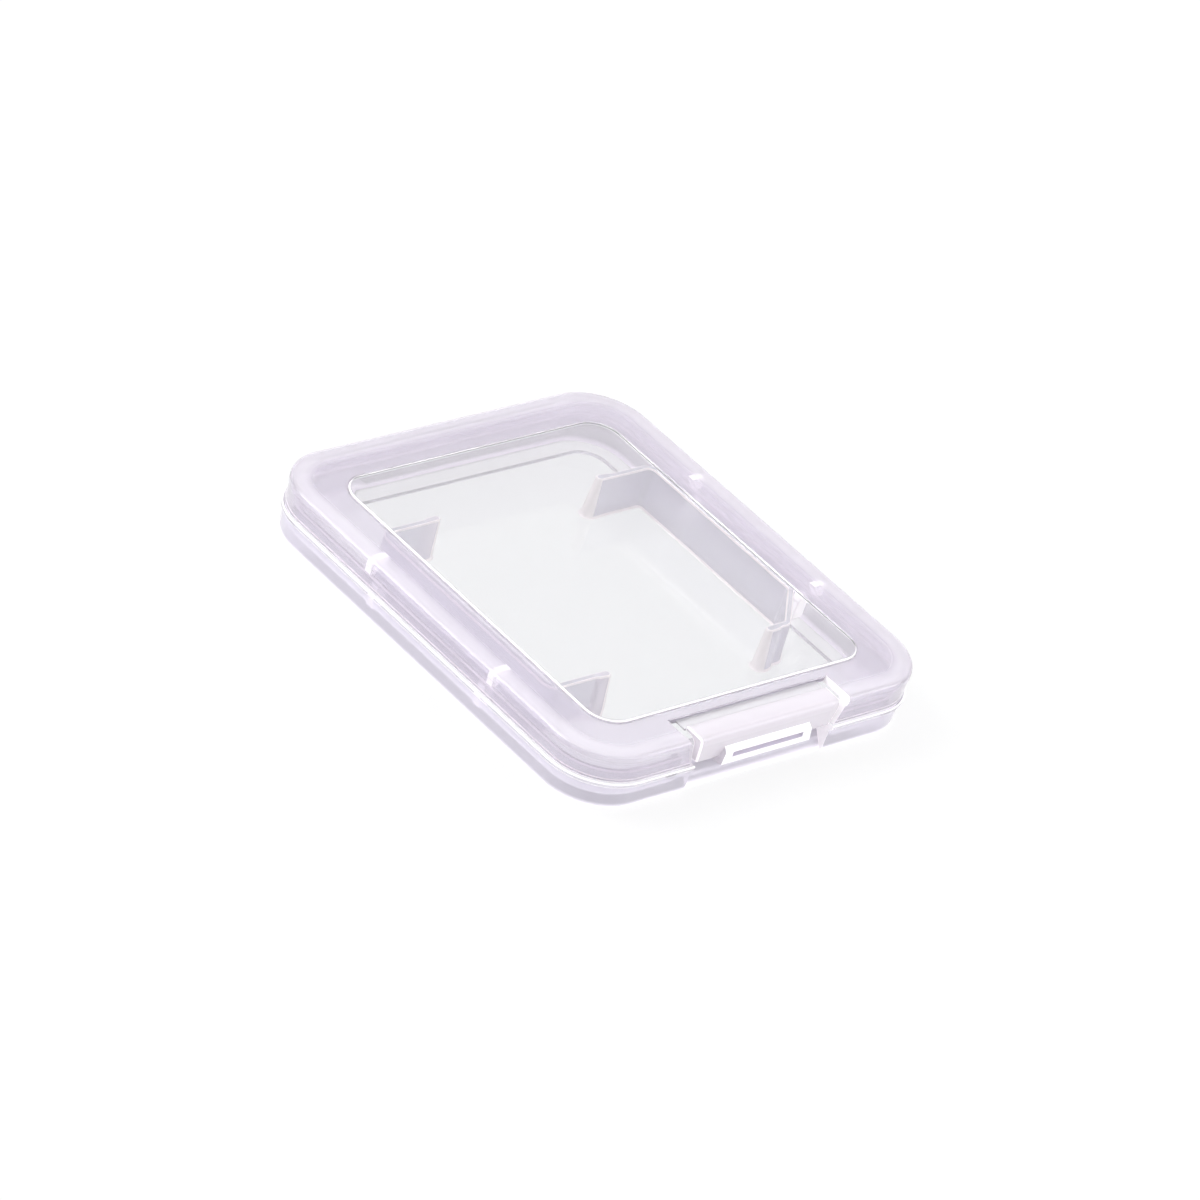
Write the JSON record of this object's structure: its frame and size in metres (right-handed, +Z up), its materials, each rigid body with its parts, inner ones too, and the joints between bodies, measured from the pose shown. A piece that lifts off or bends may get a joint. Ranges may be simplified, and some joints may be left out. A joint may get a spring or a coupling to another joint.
{
  "type": "memory card case",
  "caption": "Flat clear clamshell case with a fenced bay for one memory card, a windowed lid on a film hinge and a sprung front latch flap.",
  "frame": {"origin": "middle of the case's footprint across the parting flange, on the table", "axes": "+X along the front to the right, +Y to the lid hinge at the back, +Z up"},
  "size_m": [0.044, 0.0512, 0.0064],
  "materials": {
    "tinted_clear_shell": "polished",
    "clear_panel": "polished",
    "milky_film": "satin"
  },
  "bodies": {
    "base": {"base_tray": "tinted_clear_shell", "base_ribs": "tinted_clear_shell", "card_fence_left": "tinted_clear_shell", "card_fence_right": "tinted_clear_shell", "latch_catch": "tinted_clear_shell", "hinge_film": "milky_film"},
    "lid": {"lid_frame": "tinted_clear_shell", "lid_window": "clear_panel", "lid_ribs": "tinted_clear_shell", "latch_film": "milky_film"},
    "latch": {"latch_flap": "tinted_clear_shell"}
  },
  "joints": [
    {"name": "lid_hinge", "type": "hinge", "parent": "base", "child": "lid", "pos_m": [0, 0.0255, 0.0033], "axis": [-1, 0, 0], "range_deg": [0, 180], "deforming": ["hinge_film"]},
    {"name": "latch_flex", "type": "hinge", "parent": "lid", "child": "latch", "pos_m": [0, -0.02195, 0.00579], "axis": [-1, 0, 0], "range_deg": [0, 35], "stiffness_Nm_per_rad": 0.002, "deforming": ["latch_film"]}
  ]
}
